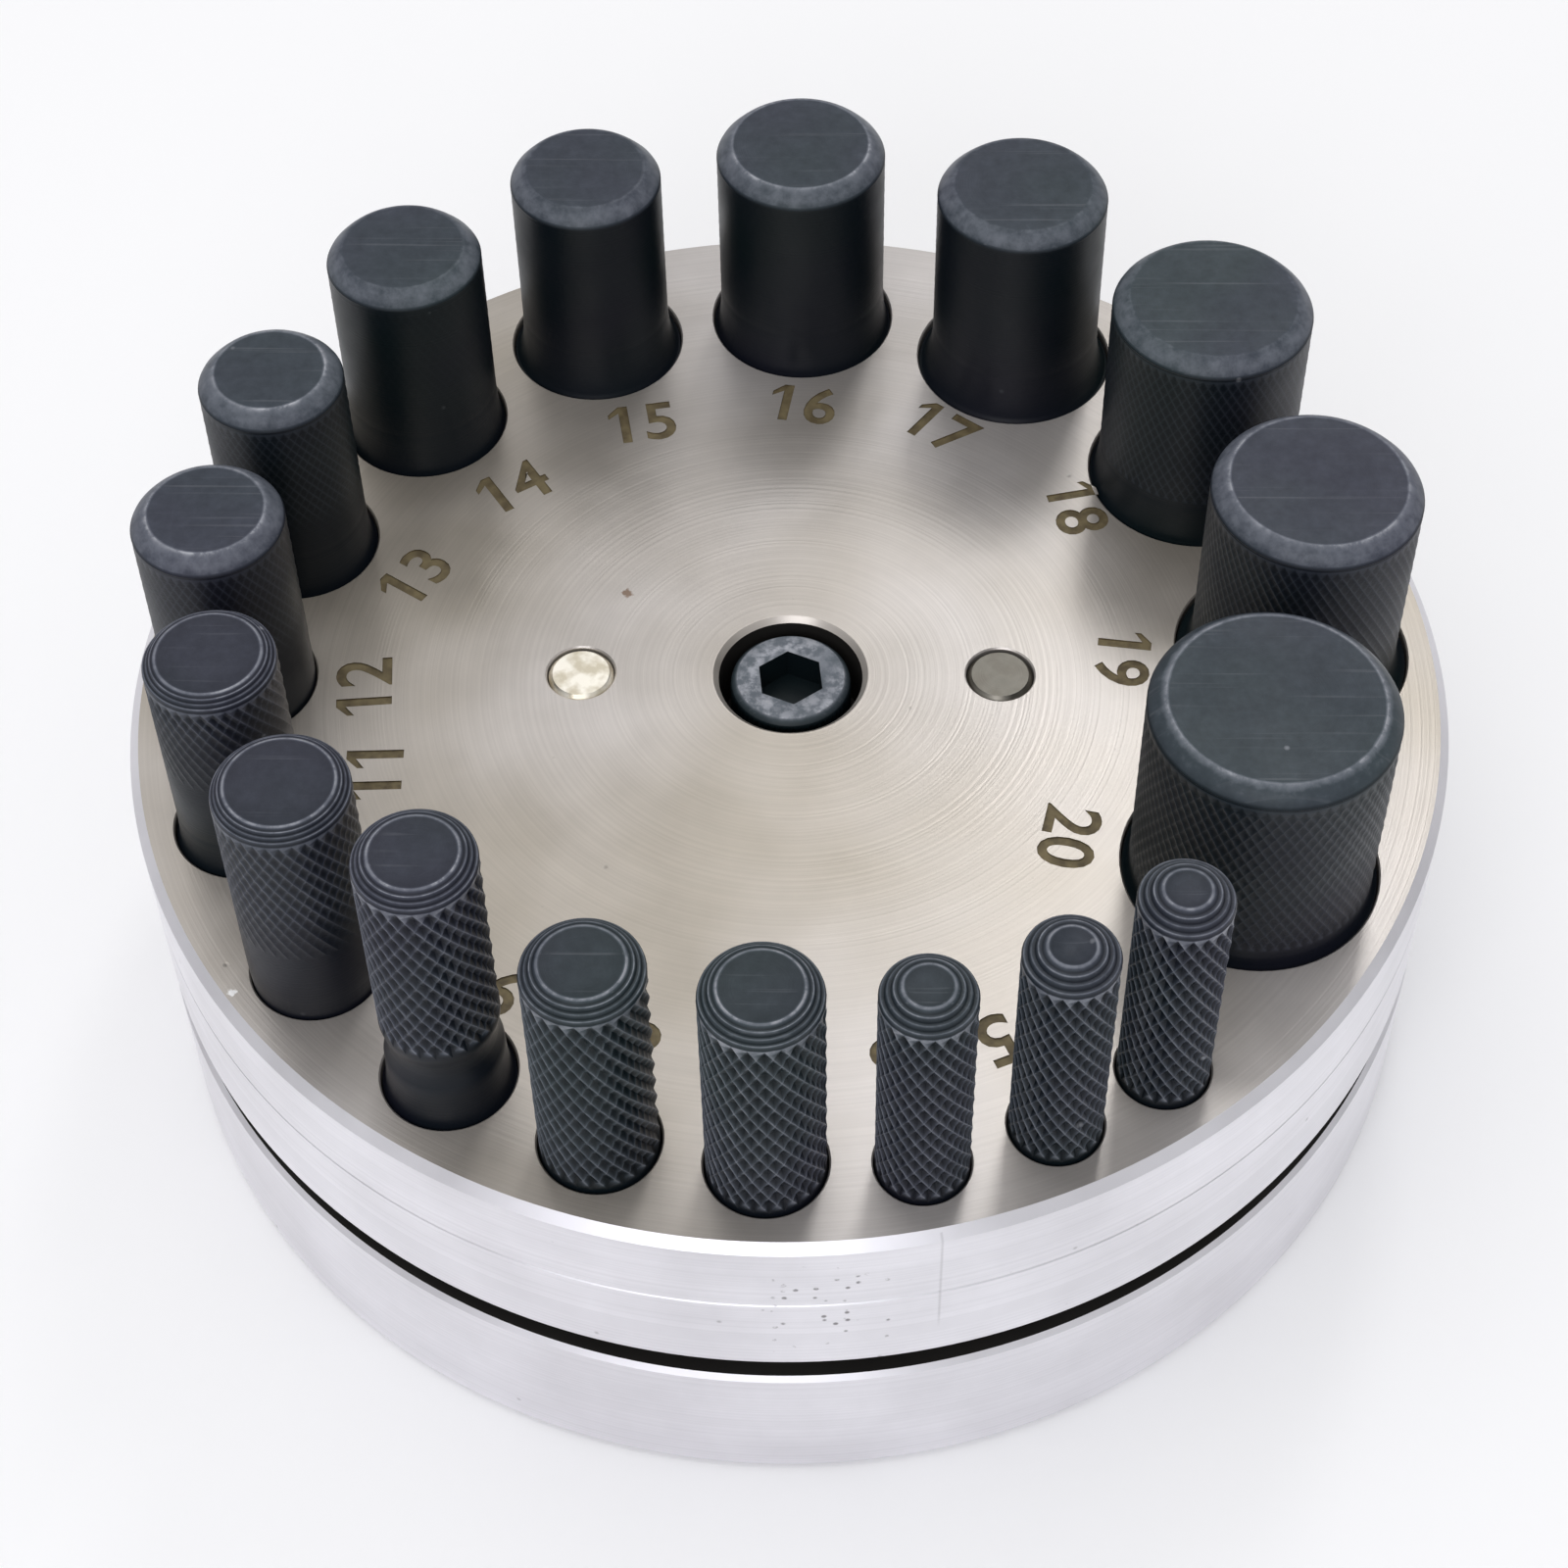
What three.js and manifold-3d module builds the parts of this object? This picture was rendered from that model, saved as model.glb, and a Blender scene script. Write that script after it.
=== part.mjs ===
// Disc cutter: a round punch-and-die block with a slot for sheet metal and seventeen loose
// punches, one for each whole millimetre. Millimetres, +Z up. The origin is the middle of the
// underside, and +X points to the right-hand dowel pin.

import * as THREE from 'three';
import { mergeVertices } from 'three/addons/utils/BufferGeometryUtils.js';
import Module from 'manifold-3d';

const wasm = await Module();
wasm.setup();

// ---- Driving dimensions ----

// Block: three round plates, with a thin spacer that leaves the slot for the sheet.
const PLATE_DIAMETER = 108;
const DIE_PLATE_THICKNESS = 14.5;
const SLOT_HEIGHT = 2.8;
const STRIPPER_PLATE_THICKNESS = 8.5;
const GUIDE_PLATE_THICKNESS = 7.9;
const RIM_CHAMFER = 0.75;
// Narrower chamfer on the die plate's edge beside the slot.
const SLOT_EDGE_CHAMFER = 0.4;
// Metal left in the spacer outside its dowel holes.
const SPACER_RIM_WALL = 2;
// Faces that bear on each other keep this film of air between them.
const SEAM_GAP = 0.05;

// Punches: the cutting diameters are whole millimetres.
const SMALLEST_PUNCH = 4;
const LARGEST_PUNCH = 20;
// The thin punches are a little longer than the thick ones.
const LARGEST_THIN_PUNCH = 10;
const THIN_PUNCH_STANDS_PROUD = 22.3;
const THICK_PUNCH_STANDS_PROUD = 20.3;
const TIP_ABOVE_BENCH = 0.2;
// One punch sticks in its hole and stands higher than the rest.
const STUCK_PUNCH = 9;
const STUCK_PUNCH_LIFT = 4.6;
const RUNNING_CLEARANCE = 0.12;
// Rim of the block to the outer edge of each guide hole.
const HOLE_RIM_MARGIN = 2.85;
// The 12 mm punch stands almost opposite the right-hand dowel pin, in degrees from +X.
const LEFTMOST_PUNCH = 12;
const LEFTMOST_PUNCH_DIRECTION = 181;
// The walls between neighbouring guide holes are equal, apart from the ones after these punches,
// which are so many times as thick. The ring starts again after the largest.
const WALL_SHARES = { 4: 0.75, 9: 1.35, 10: 1.5, 13: 1.2, 20: 2.1 };
// The shank ends in a hollow flare that starts just inside the block and sweeps up into the grip.
// FLARE_WAIST says how far up and how far in its middle lies.
const FLARE_STARTS_SUNK = 0.6;
const FLARE_HEIGHT = 4.5;
const FLARE_WAIST = 0.3;

// Socket-head cap screw, M6.
const SCREW_THREAD_DIAMETER = 6;
const SCREW_END_ABOVE_BENCH = 1.5;
const SCREW_HEAD_DIAMETER = 10;
const SCREW_HEAD_HEIGHT = 6;
const SCREW_HEAD_CHAMFER = 0.5;
const SOCKET_ACROSS_FLATS = 5;
const SOCKET_DEPTH = 3;
const SOCKET_TURN = 6;
const SCREW_HEAD_CLEARANCE = 0.95;
const SCREW_SHANK_CLEARANCE = 0.3;
const SCREW_HEAD_SUNK = 0.4;
const COUNTERBORE_CHAMFER = 0.45;
const BEARING_GAP = 0.3;

// Dowel pins.
const DOWEL_DIAMETER = 5.4;
const DOWEL_CIRCLE_RADIUS = 17.3;
const DOWEL_END_ABOVE_BENCH = 4;
const DOWEL_CHAMFER = 0.35;

// Halving for the wall between holes starts from a wall that is sure to be too thick.
const HALVING_START = 10;
const HALVING_ROUNDS = 50;

const ROUND_SEGMENTS = 20;
const RIM_SEGMENTS = 72;

// Grip diameter and shank diameter of each punch by its cutting size: the small punches share
// thicker bar stock, and the large ones have a shank of their cutting size.
const GRIP_DIAMETERS = {
  4: 7, 5: 7, 6: 7, 7: 8.9, 8: 8.9, 9: 8.9, 10: 10.2, 11: 10.1, 12: 12, 13: 11.8,
  14: 13, 15: 13, 16: 14.7, 17: 14.7, 18: 16.7, 19: 16.8, 20: 19,
};
const SMALL_SHANKS = { 4: 7, 5: 7, 6: 7, 7: 9, 8: 9, 9: 10, 10: 10 };
// Height of the chamfer round the top of the grip, and how far it comes in.
const TOP_CHAMFERS = {
  4: [1.2, 1.7], 5: [1.2, 1.7], 6: [1.2, 1.6], 7: [1.1, 1.3], 8: [1.1, 1.3], 9: [1, 1.2],
  10: [0.9, 1], 11: [0.9, 1],
};
const LARGE_TOP_CHAMFER = [1.4, 1.4];

// ---- Places worked out from the driving dimensions ----

const plateRadius = PLATE_DIAMETER / 2;
const slotFloor = DIE_PLATE_THICKNESS;
const stripperBottom = slotFloor + SLOT_HEIGHT;
const seam = stripperBottom + STRIPPER_PLATE_THICKNESS;
const guideBottom = seam + SEAM_GAP;
const blockTop = seam + GUIDE_PLATE_THICKNESS;
const screwHeadTop = blockTop - SCREW_HEAD_SUNK;
const screwHeadBottom = screwHeadTop - SCREW_HEAD_HEIGHT;
const counterboreFloor = screwHeadBottom - BEARING_GAP;
const spacerRadius = DOWEL_CIRCLE_RADIUS + DOWEL_DIAMETER / 2 + SPACER_RIM_WALL;

const sizes = [];
for (let size = SMALLEST_PUNCH; size <= LARGEST_PUNCH; size += 1) {
  sizes.push(size);
}

const punches = sizes.map((size) => ({
  size,
  cutRadius: size / 2,
  shankRadius: (SMALL_SHANKS[size] ?? size) / 2,
  gripRadius: GRIP_DIAMETERS[size] / 2,
  topChamfer: TOP_CHAMFERS[size] ?? LARGE_TOP_CHAMFER,
  top: blockTop + (size <= LARGEST_THIN_PUNCH ? THIN_PUNCH_STANDS_PROUD : THICK_PUNCH_STANDS_PROUD),
  lift: size === STUCK_PUNCH ? STUCK_PUNCH_LIFT : 0,
}));

placePunchesRoundTheRim(punches);

// Every guide hole sits the same distance in from the rim. The common wall between neighbours is
// found by halving: it is the one with which the ring closes.
function placePunchesRoundTheRim(ring) {
  const reach = ring.map((p) => plateRadius - HOLE_RIM_MARGIN - p.shankRadius);
  const stepAfter = (i, wall) => {
    const j = (i + 1) % ring.length;
    const between = wall * (WALL_SHARES[ring[i].size] ?? 1);
    const apart = ring[i].shankRadius + ring[j].shankRadius + between;
    const cosine = (reach[i] ** 2 + reach[j] ** 2 - apart ** 2) / (2 * reach[i] * reach[j]);
    return Math.acos(cosine);
  };
  let tooThin = 0;
  let tooThick = HALVING_START;
  for (let round = 0; round < HALVING_ROUNDS; round += 1) {
    const wall = (tooThin + tooThick) / 2;
    const turn = ring.reduce((sum, _, i) => sum + stepAfter(i, wall), 0);
    if (turn < 2 * Math.PI) tooThin = wall;
    else tooThick = wall;
  }
  const first = ring.findIndex((p) => p.size === LEFTMOST_PUNCH);
  let direction = THREE.MathUtils.degToRad(LEFTMOST_PUNCH_DIRECTION);
  for (let step = 0; step < ring.length; step += 1) {
    const i = (first + step) % ring.length;
    ring[i].x = reach[i] * Math.cos(direction);
    ring[i].y = reach[i] * Math.sin(direction);
    direction -= stepAfter(i, tooThin);
  }
}

// ---- Solids ----

// A solid of revolution about +Z from [radius, height] points, listed from the bottom up.
function turned(outline, segments = ROUND_SEGMENTS) {
  const points = outline.map(([radius, height]) => new THREE.Vector2(radius, height));
  return new THREE.LatheGeometry(points, segments).rotateX(Math.PI / 2);
}

function cylinder(radius, bottom, top, segments = ROUND_SEGMENTS) {
  return turned([[0, bottom], [radius, bottom], [radius, top], [0, top]], segments);
}

function hexagonalPrism(acrossFlats, bottom, top, turn) {
  const corner = acrossFlats / Math.sqrt(3);
  const outline = [];
  for (let i = 0; i < 6; i += 1) {
    const angle = THREE.MathUtils.degToRad(turn + i * 60);
    outline.push(new THREE.Vector2(corner * Math.cos(angle), corner * Math.sin(angle)));
  }
  const prism = new THREE.ExtrudeGeometry(new THREE.Shape(outline), {
    depth: top - bottom,
    bevelEnabled: false,
  });
  return prism.translate(0, 0, bottom);
}

function toSolid(geometry) {
  const bare = geometry.clone();
  bare.deleteAttribute('normal');
  bare.deleteAttribute('uv');
  const welded = mergeVertices(bare, 1e-4);
  return new wasm.Manifold(new wasm.Mesh({
    numProp: 3,
    vertProperties: new Float32Array(welded.attributes.position.array),
    triVerts: new Uint32Array(welded.index.array),
  }));
}

function toGeometry(solid) {
  const mesh = solid.getMesh();
  const geometry = new THREE.BufferGeometry();
  geometry.setAttribute('position', new THREE.BufferAttribute(mesh.vertProperties, 3));
  geometry.setIndex(new THREE.BufferAttribute(mesh.triVerts, 1));
  const flat = geometry.toNonIndexed();
  flat.computeVertexNormals();
  return flat;
}

function cut(body, cutters) {
  let solid = toSolid(body);
  for (const cutter of cutters) {
    solid = solid.subtract(toSolid(cutter));
  }
  return toGeometry(solid);
}

// Straight cutters that run past both faces of a plate.
const OVERRUN = 1;

function punchHoles(bottom, top, radiusOf) {
  return punches.map((p) => {
    const hole = cylinder(radiusOf(p) + RUNNING_CLEARANCE, bottom - OVERRUN, top + OVERRUN);
    return hole.translate(p.x, p.y, 0);
  });
}

function dowelHoles(bottom, top) {
  return [-1, 1].map((side) => {
    const hole = cylinder(DOWEL_DIAMETER / 2 + RUNNING_CLEARANCE, bottom, top);
    return hole.translate(side * DOWEL_CIRCLE_RADIUS, 0, 0);
  });
}

function screwHole(bottom, top) {
  return cylinder(SCREW_THREAD_DIAMETER / 2 + SCREW_SHANK_CLEARANCE, bottom, top);
}

// ---- Plates ----

function diePlate() {
  const blank = turned([
    [0, 0],
    [plateRadius - RIM_CHAMFER, 0],
    [plateRadius, RIM_CHAMFER],
    [plateRadius, slotFloor - SLOT_EDGE_CHAMFER],
    [plateRadius - SLOT_EDGE_CHAMFER, slotFloor],
    [0, slotFloor],
  ], RIM_SEGMENTS);
  return cut(blank, [
    ...punchHoles(0, slotFloor, (p) => p.cutRadius),
    ...dowelHoles(DOWEL_END_ABOVE_BENCH - BEARING_GAP, slotFloor + OVERRUN),
    screwHole(-OVERRUN, slotFloor + OVERRUN),
  ]);
}

function spacerDisc() {
  const bottom = slotFloor + SEAM_GAP;
  const top = stripperBottom - SEAM_GAP;
  const blank = cylinder(spacerRadius, bottom, top, RIM_SEGMENTS);
  return cut(blank, [
    ...dowelHoles(bottom - OVERRUN, top + OVERRUN),
    screwHole(bottom - OVERRUN, top + OVERRUN),
  ]);
}

// The hole for the screw's head, with a chamfered mouth.
function counterbore() {
  const radius = SCREW_HEAD_DIAMETER / 2 + SCREW_HEAD_CLEARANCE;
  return turned([
    [0, counterboreFloor],
    [radius, counterboreFloor],
    [radius, blockTop - COUNTERBORE_CHAMFER],
    [radius + COUNTERBORE_CHAMFER, blockTop],
    [radius + COUNTERBORE_CHAMFER, blockTop + OVERRUN],
    [0, blockTop + OVERRUN],
  ], ROUND_SEGMENTS * 2);
}

function stripperPlate() {
  const blank = cylinder(plateRadius, stripperBottom, seam, RIM_SEGMENTS);
  return cut(blank, [
    ...punchHoles(stripperBottom, seam, (p) => p.cutRadius),
    ...dowelHoles(stripperBottom - OVERRUN, seam + OVERRUN),
    screwHole(stripperBottom - OVERRUN, seam + OVERRUN),
    counterbore(),
  ]);
}

function guidePlate() {
  const blank = turned([
    [0, guideBottom],
    [plateRadius, guideBottom],
    [plateRadius, blockTop - RIM_CHAMFER],
    [plateRadius - RIM_CHAMFER, blockTop],
    [0, blockTop],
  ], RIM_SEGMENTS);
  return cut(blank, [
    ...punchHoles(guideBottom, blockTop, (p) => p.shankRadius),
    ...dowelHoles(guideBottom - OVERRUN, blockTop + OVERRUN),
    screwHole(guideBottom - OVERRUN, blockTop),
    counterbore(),
  ]);
}

// ---- Fasteners ----

function clampScrew() {
  const headRadius = SCREW_HEAD_DIAMETER / 2;
  const threadRadius = SCREW_THREAD_DIAMETER / 2;
  const blank = turned([
    [0, SCREW_END_ABOVE_BENCH],
    [threadRadius - SCREW_HEAD_CHAMFER, SCREW_END_ABOVE_BENCH],
    [threadRadius, SCREW_END_ABOVE_BENCH + SCREW_HEAD_CHAMFER],
    [threadRadius, screwHeadBottom],
    [headRadius, screwHeadBottom],
    [headRadius, screwHeadTop - SCREW_HEAD_CHAMFER],
    [headRadius - SCREW_HEAD_CHAMFER, screwHeadTop],
    [0, screwHeadTop],
  ], ROUND_SEGMENTS);
  return cut(blank, [
    hexagonalPrism(
      SOCKET_ACROSS_FLATS,
      screwHeadTop - SOCKET_DEPTH,
      screwHeadTop + OVERRUN,
      SOCKET_TURN,
    ),
  ]);
}

function dowelPin(side) {
  const radius = DOWEL_DIAMETER / 2;
  const pin = turned([
    [0, DOWEL_END_ABOVE_BENCH],
    [radius - DOWEL_CHAMFER, DOWEL_END_ABOVE_BENCH],
    [radius, DOWEL_END_ABOVE_BENCH + DOWEL_CHAMFER],
    [radius, blockTop - DOWEL_CHAMFER],
    [radius - DOWEL_CHAMFER, blockTop],
    [0, blockTop],
  ]);
  return pin.translate(side * DOWEL_CIRCLE_RADIUS, 0, 0);
}

// ---- Punches ----

// From the tip up: the cutting end, the shank that runs in the guide plate, a flare, the grip
// and its chamfered top. The step of a small punch's shank rests on the stripper plate.
function punch(p) {
  const [chamferHeight, chamferInset] = p.topChamfer;
  const outline = [[0, TIP_ABOVE_BENCH], [p.cutRadius, TIP_ABOVE_BENCH]];
  if (p.shankRadius > p.cutRadius) {
    const shoulder = seam + BEARING_GAP;
    outline.push([p.cutRadius, shoulder], [p.shankRadius, shoulder]);
  }
  const flareStart = blockTop - FLARE_STARTS_SUNK - p.lift;
  outline.push([p.shankRadius, flareStart]);
  if (p.gripRadius !== p.shankRadius) {
    const waist = p.gripRadius + (p.shankRadius - p.gripRadius) * FLARE_WAIST;
    outline.push([waist, flareStart + FLARE_HEIGHT * FLARE_WAIST]);
    outline.push([p.gripRadius, flareStart + FLARE_HEIGHT]);
  }
  outline.push(
    [p.gripRadius, p.top - chamferHeight],
    [p.gripRadius - chamferInset, p.top],
    [0, p.top],
  );
  return turned(outline).translate(p.x, p.y, p.lift);
}

// ---- Assembly ----

const turnedSteel = { color: 0xb9b5ae, roughness: 0.34, metalness: 1 };
const groundSteel = { color: 0xc9c6bf, roughness: 0.28, metalness: 1 };
const blackOxide = { color: 0x2c3138, roughness: 0.5, metalness: 0.8 };

const block = new THREE.Group();

function addPart(name, geometry, finish) {
  const mesh = new THREE.Mesh(geometry, new THREE.MeshStandardMaterial(finish));
  mesh.name = name;
  block.add(mesh);
}

addPart('die_plate', diePlate(), turnedSteel);
addPart('spacer_disc', spacerDisc(), turnedSteel);
addPart('stripper_plate', stripperPlate(), turnedSteel);
addPart('guide_plate', guidePlate(), turnedSteel);
addPart('clamp_screw', clampScrew(), blackOxide);
addPart('dowel_pin_left', dowelPin(-1), groundSteel);
addPart('dowel_pin_right', dowelPin(1), groundSteel);
for (const p of punches) {
  addPart(`punch_${String(p.size).padStart(2, '0')}`, punch(p), blackOxide);
}

export default block;
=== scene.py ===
"""Disc cutter: a round punch-and-die block with seventeen loose punches, in a pale studio."""

import math
import bmesh
import bpy
from mathutils import Matrix, Vector


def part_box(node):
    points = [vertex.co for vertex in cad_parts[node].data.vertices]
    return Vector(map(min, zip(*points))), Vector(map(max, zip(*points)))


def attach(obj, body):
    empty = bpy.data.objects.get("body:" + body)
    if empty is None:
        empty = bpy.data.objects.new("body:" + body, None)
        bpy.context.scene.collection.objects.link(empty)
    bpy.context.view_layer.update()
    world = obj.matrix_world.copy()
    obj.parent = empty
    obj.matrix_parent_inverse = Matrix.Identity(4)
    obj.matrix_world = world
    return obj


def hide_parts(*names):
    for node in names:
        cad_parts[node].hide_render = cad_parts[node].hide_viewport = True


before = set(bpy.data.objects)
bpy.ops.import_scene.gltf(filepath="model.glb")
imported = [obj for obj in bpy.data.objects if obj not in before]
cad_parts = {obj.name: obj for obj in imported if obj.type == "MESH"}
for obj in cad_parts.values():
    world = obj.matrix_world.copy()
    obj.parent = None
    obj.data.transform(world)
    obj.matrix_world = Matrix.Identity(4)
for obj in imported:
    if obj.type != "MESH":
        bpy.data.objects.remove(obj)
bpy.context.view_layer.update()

# ---- Sizes, in millimetres ----

MM = 0.001


def node_box(node):
    """Lowest and highest corner of a frame node, in millimetres."""
    low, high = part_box(node)
    return low / MM, high / MM


guide_low, guide_high = node_box("guide_plate")
stripper_low, stripper_high = node_box("stripper_plate")
die_low, die_high = node_box("die_plate")
spacer_low, spacer_high = node_box("spacer_disc")
screw_low, screw_high = node_box("clamp_screw")

PLATE_RADIUS = guide_high.x
BLOCK_TOP = guide_high.z
RIM_CHAMFER = 0.75
SLOT_EDGE_CHAMFER = 0.4
EDGE_BREAK = 0.12
RUNNING_CLEARANCE = 0.12
SHOULDER = stripper_high.z + 0.3

SIZES = range(4, 21)
GRIP_DIAMETERS = {
    4: 7, 5: 7, 6: 7, 7: 8.9, 8: 8.9, 9: 8.9, 10: 10.2, 11: 10.1, 12: 12, 13: 11.8,
    14: 13, 15: 13, 16: 14.7, 17: 14.7, 18: 16.7, 19: 16.8, 20: 19,
}
SMALL_SHANKS = {4: 7, 5: 7, 6: 7, 7: 9, 8: 9, 9: 10, 10: 10}
# Height of the chamfer round the top of the grip, and how far it comes in.
TOP_CHAMFERS = {
    4: (1.2, 1.7), 5: (1.2, 1.7), 6: (1.2, 1.6), 7: (1.1, 1.3), 8: (1.1, 1.3), 9: (1, 1.2),
    10: (0.9, 1), 11: (0.9, 1),
}
LARGE_TOP_CHAMFER = (1.4, 1.4)
TOP_DISHES = {4: 0.12, 5: 0.35, 6: 0.1}
# The lips of these punches get the highest value: rubbed bare, with a painted highlight.
SHARP_LIPS = (12, 13, 16, 19, 20)
# The chamfer of the largest punch gets a lower value: less rubbing and less painted highlight.
CHAMFER_WEAR_AND_HIGHLIGHT = {20: 0.84}
FLARE_STARTS_SUNK = 0.6
FLARE_HEIGHT = 4.5
STUCK_PUNCH = 9
WAIST_DEPTH = 0.4
WAIST_GROOVE = 0.03

# Knurl of each grip: diamonds round it, depth, how far the left-hand ridges sink below the
# right-hand ones, where the knurl begins above the block, and how rubbed its crests are
# together with their painted highlight.
KNURLS = {
    4: (20, 0.42, 0.08, 0.3, 0.98), 5: (20, 0.42, 0.08, 0.2, 0.98), 6: (20, 0.42, 0.08, 0.2, 0.98),
    7: (24, 0.42, 0.10, 0.2, 0.98), 8: (24, 0.40, 0.24, 0.2, 0.96), 9: (24, 0.34, 0.14, 8.2, 0.96),
    10: (34, 0.18, 0.09, 2.4, 0.9), 11: (34, 0.18, 0.10, 3.4, 0.9), 12: (48, 0.07, 0.04, 4.4, 0.72),
    13: (48, 0.07, 0.04, 4.4, 0.68), 14: (52, 0.04, 0.02, 4.4, 0.4), 15: (52, 0.03, 0.02, 4.4, 0.3),
    16: (58, 0.03, 0.02, 4.4, 0.3), 17: (58, 0.03, 0.02, 4.4, 0.3), 18: (64, 0.09, 0.04, 4.0, 0.7),
    19: (64, 0.10, 0.04, 3.0, 0.72), 20: (64, 0.16, 0.06, 1.2, 0.7),
}
# How far up the knurl takes to reach its full depth.
KNURL_FADES = {10: 11, 11: 15, 12: 5, 13: 5, 14: 5, 15: 5, 16: 5, 17: 5}
KNURL_FADE = 0.4
KNURL_CELL_SLOPE = 1.73

# Size numbers were stamped by hand: the direction and distance of each from the middle of the
# block, and the direction its top points to. The rest stand square inside their holes.
NUMBER_HEIGHT = 4.6
NUMBER_INSIDE_HOLE = 3.9
NUMBER_DEPTH = 0.12
NUMBER_BOLDNESS = 0.018
# The flag of a figure one: how far out and down its tip lies, how thick the tip is, and how far
# down the stem it ends, as shares of the height.
FLAG_OUT = 0.21
FLAG_DOWN = 0.2
FLAG_TIP = 0.12
FLAG_FOOT = 0.17
NUMBER_SEATS = {
    5: (294, 39.4, 293.5), 6: (281.8, 38.9, 280), 9: (236.1, 38.3, 236.1),
    11: (197.2, 34.9, 182), 12: (181.8, 35.1, 185), 13: (160.8, 33.6, 146),
    14: (138.1, 32.2, 123), 15: (114.1, 32.0, 100), 16: (87.8, 31.5, 81), 17: (64.8, 31.3, 53),
    18: (36.8, 30.8, 13), 19: (2.7, 27.5, 352.5), 20: (322.8, 27.9, 347),
}

SCREW_HEAD_RADIUS = 5
SCREW_HEAD_HEIGHT = 6
SCREW_HEAD_FLUTES = 60
SCREW_THREAD_RADIUS = 3
SCREW_PITCH = 1
SOCKET_ACROSS_FLATS = 5
SOCKET_DEPTH = 3
SOCKET_TURN = 6
COUNTERBORE_RADIUS = 5.95
COUNTERBORE_CHAMFER = 0.45
COUNTERBORE_FLOOR = screw_high.z - SCREW_HEAD_HEIGHT - 0.3
SCREW_HOLE_RADIUS = 3.3

# Marks on the block: direction in degrees, distance and height in millimetres; then the radius.
RUST_SPOT = ((147.5, 16.5, BLOCK_TOP), 0.5)
BRIGHT_NICK = ((217.3, 52.7, BLOCK_TOP), 0.4)
PITTED_PATCH = ((274, 54, 25), 6)
SCRIBED_DIRECTION = 282.4
SCRIBED_HALF_WIDTH = 0.14
SCRIBED_BOTTOM = 20.5

DOWEL_NODES = ("dowel_pin_left", "dowel_pin_right")
DOWEL_CHAMFER = 0.35

ROUND_STEPS = 96
RIM_STEPS = 240
HOLE_STEPS = 72


def shank_radius(size):
    return SMALL_SHANKS.get(size, size) / 2


def axis_of(node):
    """Where the node's upright axis stands, in millimetres."""
    low, high = node_box(node)
    return (low + high).xy / 2


def punch_node(size):
    return f"punch_{size:02d}"


# ---- Mesh work ----


def new_mesh():
    """A bmesh whose points carry their abrasion together with painted light and shade (lighter tops,
    painted highlights on ridges and chamfers, painted shade in knurl pits), and their place on their
    own piece.
    """
    bm = bmesh.new()
    bm.verts.layers.float.new("wear_and_light")
    bm.verts.layers.float_vector.new("place")
    return bm


def spin_outline(bm, outline, steps=ROUND_STEPS):
    """Spins an outline of (radius, height, abrasion and painted light) points once round the Z axis.
    """
    wear_and_light = bm.verts.layers.float["wear_and_light"]
    points = []
    for radius, height, wear_and_light_level in outline:
        point = bm.verts.new((radius, 0, height))
        point[wear_and_light] = wear_and_light_level
        points.append(point)
    lines = [bm.edges.new(pair) for pair in zip(points, points[1:])]
    bmesh.ops.spin(
        bm, geom=points + lines, cent=(0, 0, 0), axis=(0, 0, 1),
        angle=math.tau, steps=steps, use_merge=True,
    )


def open_ring(bm, height):
    """The open edges that lie at one height."""
    return [
        e for e in bm.edges
        if e.is_boundary and all(abs(v.co.z - height) < 1e-4 for v in e.verts)
    ]


def ring(bm, radius, height, centre=(0, 0), steps=HOLE_STEPS):
    """A loose circle of edges, which later carries a wall."""
    made = bmesh.ops.create_circle(
        bm, cap_ends=False, radius=radius, segments=steps,
        matrix=Matrix.Translation((*centre, height)),
    )
    return list({e for v in made["verts"] for e in v.link_edges})


def carry(bm, edges, centre, radius, outline):
    """Extrudes a ring through (radius, height) steps and gives the last ring."""
    for next_radius, height in outline:
        made = bmesh.ops.extrude_edge_only(bm, edges=edges)["geom"]
        points = [g for g in made if isinstance(g, bmesh.types.BMVert)]
        fresh = set(points)
        edges = [
            g for g in made
            if isinstance(g, bmesh.types.BMEdge) and fresh.issuperset(g.verts)
        ]
        share = next_radius / radius
        middle = Matrix.Translation((-centre[0], -centre[1], 0))
        bmesh.ops.scale(bm, vec=(share, share, 1), space=middle, verts=points)
        bmesh.ops.translate(bm, vec=(0, 0, height - points[0].co.z), verts=points)
        radius = next_radius
    return edges


def fill_sheet(bm, edges, up=1):
    made = bmesh.ops.triangle_fill(bm, use_beauty=True, edges=edges, normal=(0, 0, up))
    return [g for g in made["geom"] if isinstance(g, bmesh.types.BMFace)]


def finish_piece(bm, name, materials, body, node, crease=28):
    """Closes the mesh, brings it to metres, and hangs it on its body in place of the node."""
    bmesh.ops.remove_doubles(bm, verts=bm.verts, dist=0.0005)
    bmesh.ops.recalc_face_normals(bm, faces=bm.faces)
    bmesh.ops.scale(bm, vec=(MM, MM, MM), verts=bm.verts)
    mesh = bpy.data.meshes.new(name)
    bm.to_mesh(mesh)
    bm.free()
    for material in materials:
        mesh.materials.append(material)
    mesh.shade_smooth()
    mesh.set_sharp_from_angle(angle=math.radians(crease))
    piece = bpy.data.objects.new(name, mesh)
    bpy.context.scene.collection.objects.link(piece)
    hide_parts(node)
    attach(piece, body)
    return piece


def store_places(bm, centre, top):
    """Writes each point's place measured from the middle of the piece's top."""
    place = bm.verts.layers.float_vector["place"]
    middle = Vector((centre[0], centre[1], top))
    for v in bm.verts:
        v[place] = (v.co - middle) * MM


# ---- Materials ----


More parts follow.
